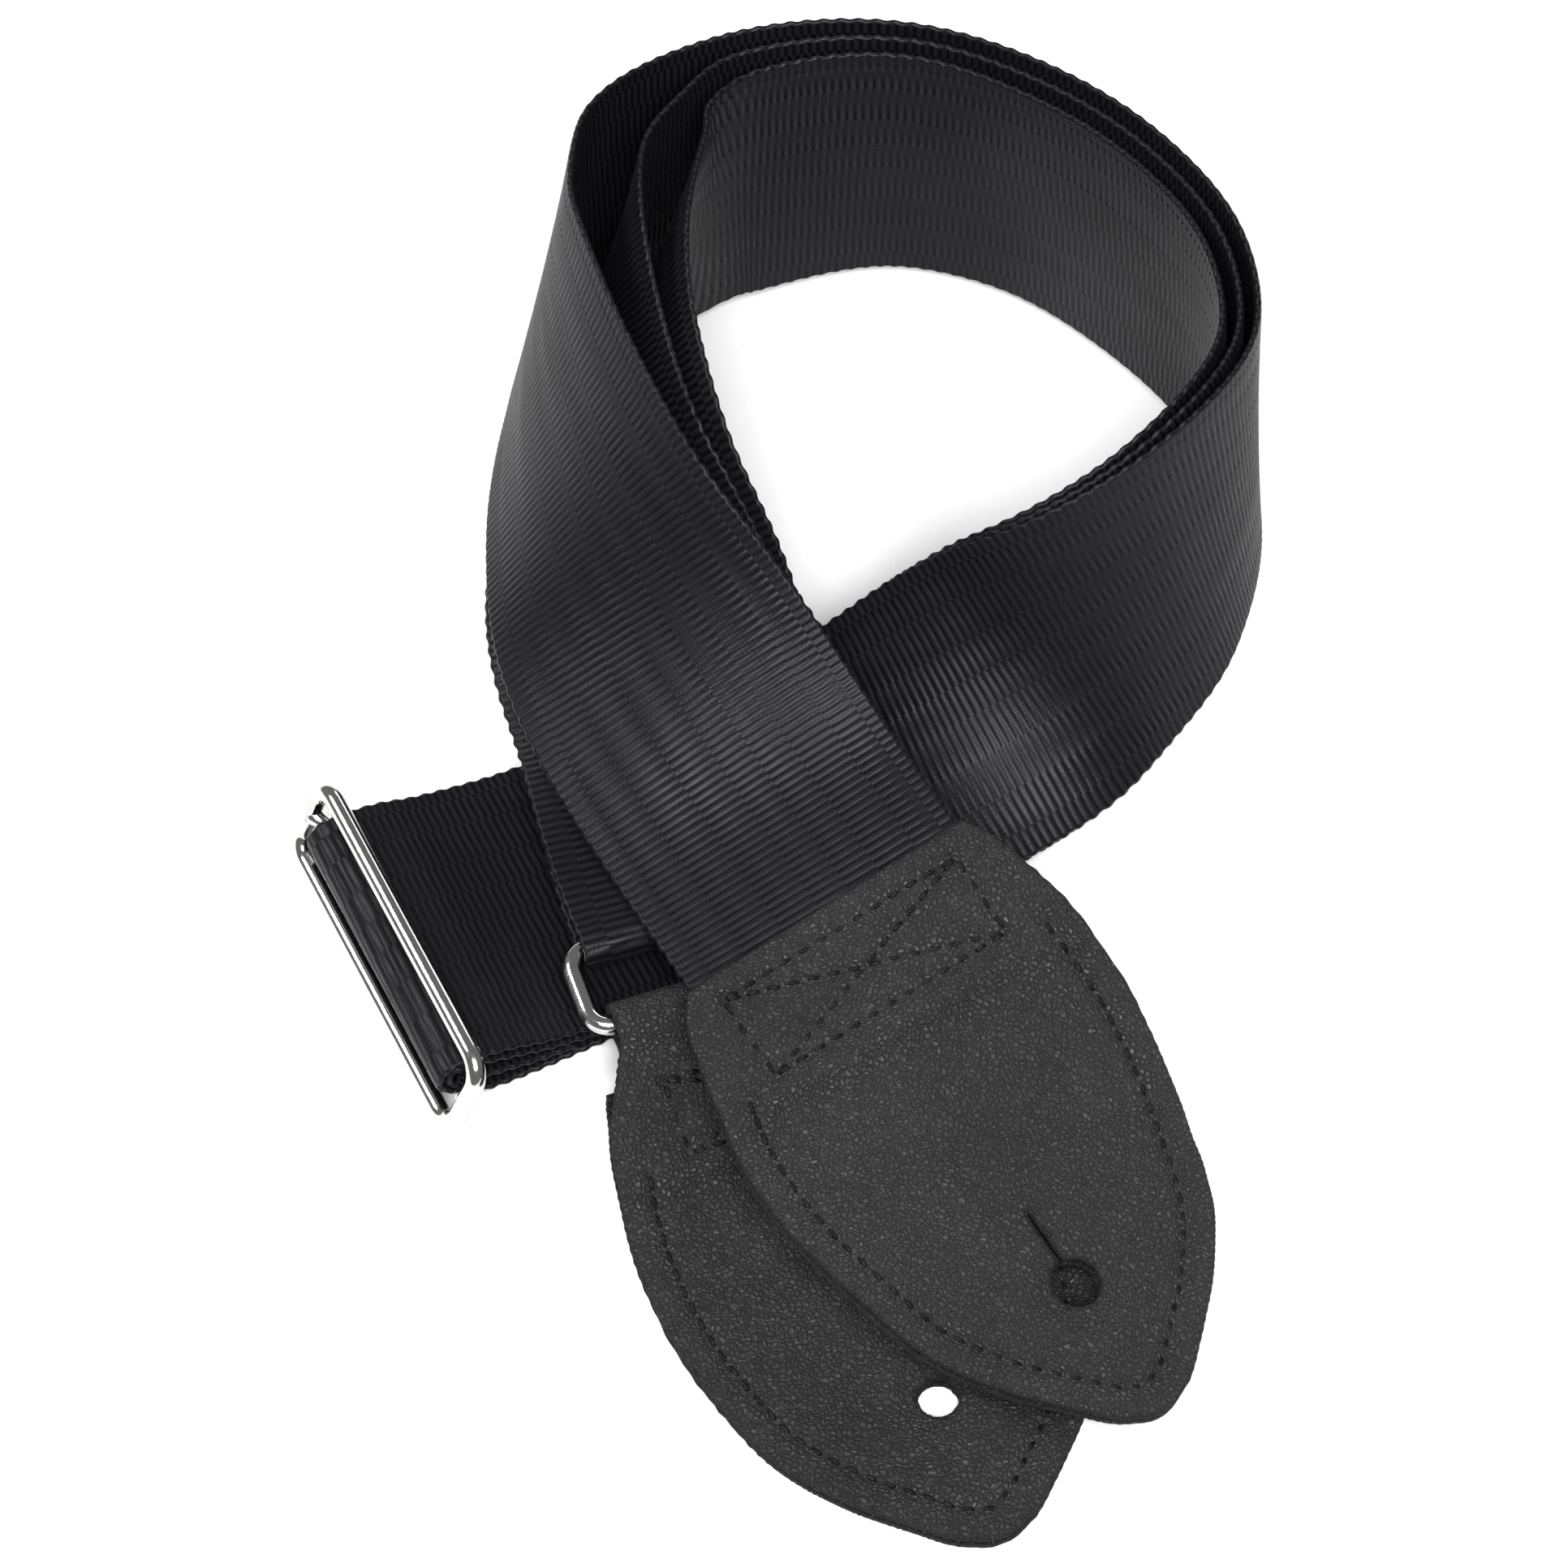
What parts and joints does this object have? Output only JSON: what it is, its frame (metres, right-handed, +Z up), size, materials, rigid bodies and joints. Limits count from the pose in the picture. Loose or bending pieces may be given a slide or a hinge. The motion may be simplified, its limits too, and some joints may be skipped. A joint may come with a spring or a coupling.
{
  "type": "guitar strap",
  "caption": "Guitar strap of wide webbing with leather end tabs, a wire length slider and a wire ring, coiled in one loop for storage.",
  "frame": {"origin": "bottom centre of the coiled strap's box, on the surface that it lies on", "axes": "+Z up from that surface, +Y from the leather tabs to the far side of the loop, +X to the right as seen from the tabs' side"},
  "size_m": [0.1593, 0.2542, 0.0582],
  "materials": {
    "webbing": "ribbed black nylon webbing with a soft sheen",
    "leather": "black pebbled leather, satin",
    "backing": "black suede, matte",
    "thread": "black waxed nylon thread",
    "wire": "polished nickel-plated steel wire"
  },
  "bodies": {
    "strap": {"webbing_outer_left": "webbing", "webbing_outer_far": "webbing", "webbing_outer_right": "webbing", "webbing_outer_crossing": "webbing", "webbing_middle_left": "webbing", "webbing_middle_far": "webbing", "webbing_middle_right": "webbing", "webbing_middle_crossing": "webbing", "webbing_inner_left": "webbing", "webbing_inner_far": "webbing", "webbing_inner_right": "webbing", "webbing_inner_crossing": "webbing", "webbing_ring_fold": "webbing"},
    "front_tab": {"webbing_front_end": "webbing", "front_tab_leather": "leather", "front_tab_backing": "backing", "front_tab_edge_thread": "thread", "front_tab_box_thread": "thread"},
    "ring": {"ring": "wire"},
    "rear_tab": {"rear_tab_leather": "leather", "rear_tab_backing": "backing", "rear_tab_edge_thread": "thread", "rear_tab_box_thread": "thread"},
    "carriage": {"webbing_slider_weave": "webbing", "webbing_sewn_loop": "webbing"},
    "slider": {"slider_frame": "wire", "slider_centre_bar": "wire"}
  },
  "joints": [
    {"name": "front_tab_lift", "type": "hinge", "parent": "strap", "child": "front_tab", "pos_m": [0.00624, -0.02631, 0.02049], "axis": [-0.8415, -0.509, -0.1811], "range_deg": [0, 60]},
    {"name": "ring_swivel", "type": "hinge", "parent": "strap", "child": "ring", "pos_m": [-0.0088, -0.0206, 0.0103], "axis": [0.9388, 0.3419, -0.042], "range_deg": [-0.5, 0.5]},
    {"name": "rear_tab_swing", "type": "hinge", "parent": "ring", "child": "rear_tab", "pos_m": [-0.0041, -0.03352, 0.0091], "axis": [0.9388, 0.3419, -0.042], "range_deg": [0, 30]},
    {"name": "adjuster_slide", "type": "slide", "parent": "strap", "child": "carriage", "axis": [-0.894, -0.448, 0], "range_m": [-0.008, 0.004], "deforming": ["webbing_slider_weave", "webbing_sewn_loop"]},
    {"name": "slider_tilt", "type": "hinge", "parent": "carriage", "child": "slider", "pos_m": [-0.06167, -0.02864, 0.00968], "axis": [-0.448, 0.894, 0], "range_deg": [-4, 4]}
  ]
}
